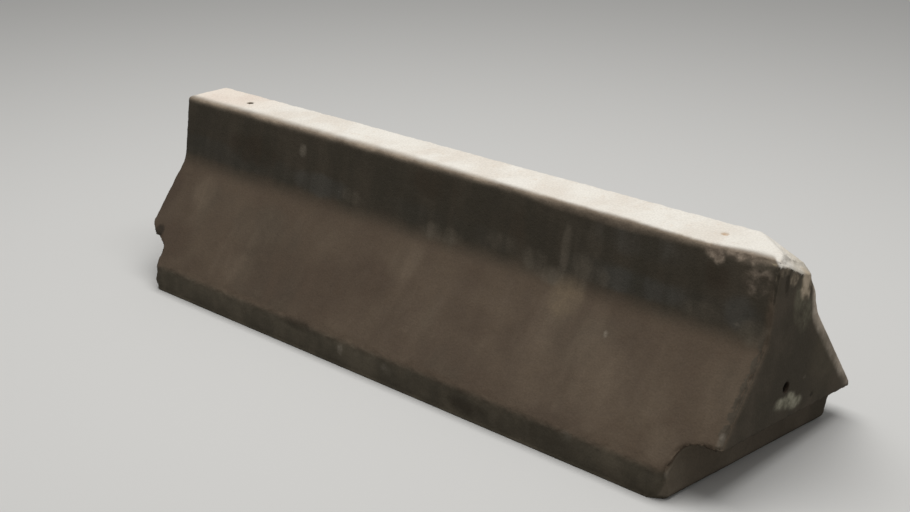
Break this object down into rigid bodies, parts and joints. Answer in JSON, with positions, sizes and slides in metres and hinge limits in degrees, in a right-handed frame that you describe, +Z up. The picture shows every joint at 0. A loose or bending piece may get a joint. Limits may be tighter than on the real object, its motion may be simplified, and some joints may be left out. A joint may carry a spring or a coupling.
{
  "type": "concrete road barrier",
  "caption": "Low precast concrete road barrier with an upright toe, sloped face, battered stem, splayed drain notches at its ends, lifting and dowel sockets, and a broken top corner.",
  "frame": {"origin": "on the ground under the middle of the barrier's box", "axes": "+X along the barrier towards its broken end, -Y out of the traffic face, +Z up"},
  "size_m": [2.0096, 0.65, 0.515],
  "materials": {
    "concrete": "weathered rough cast concrete, grey-brown on its faces and pale on top"
  },
  "bodies": {
    "root": {"barrier": "concrete"}
  },
  "joints": []
}
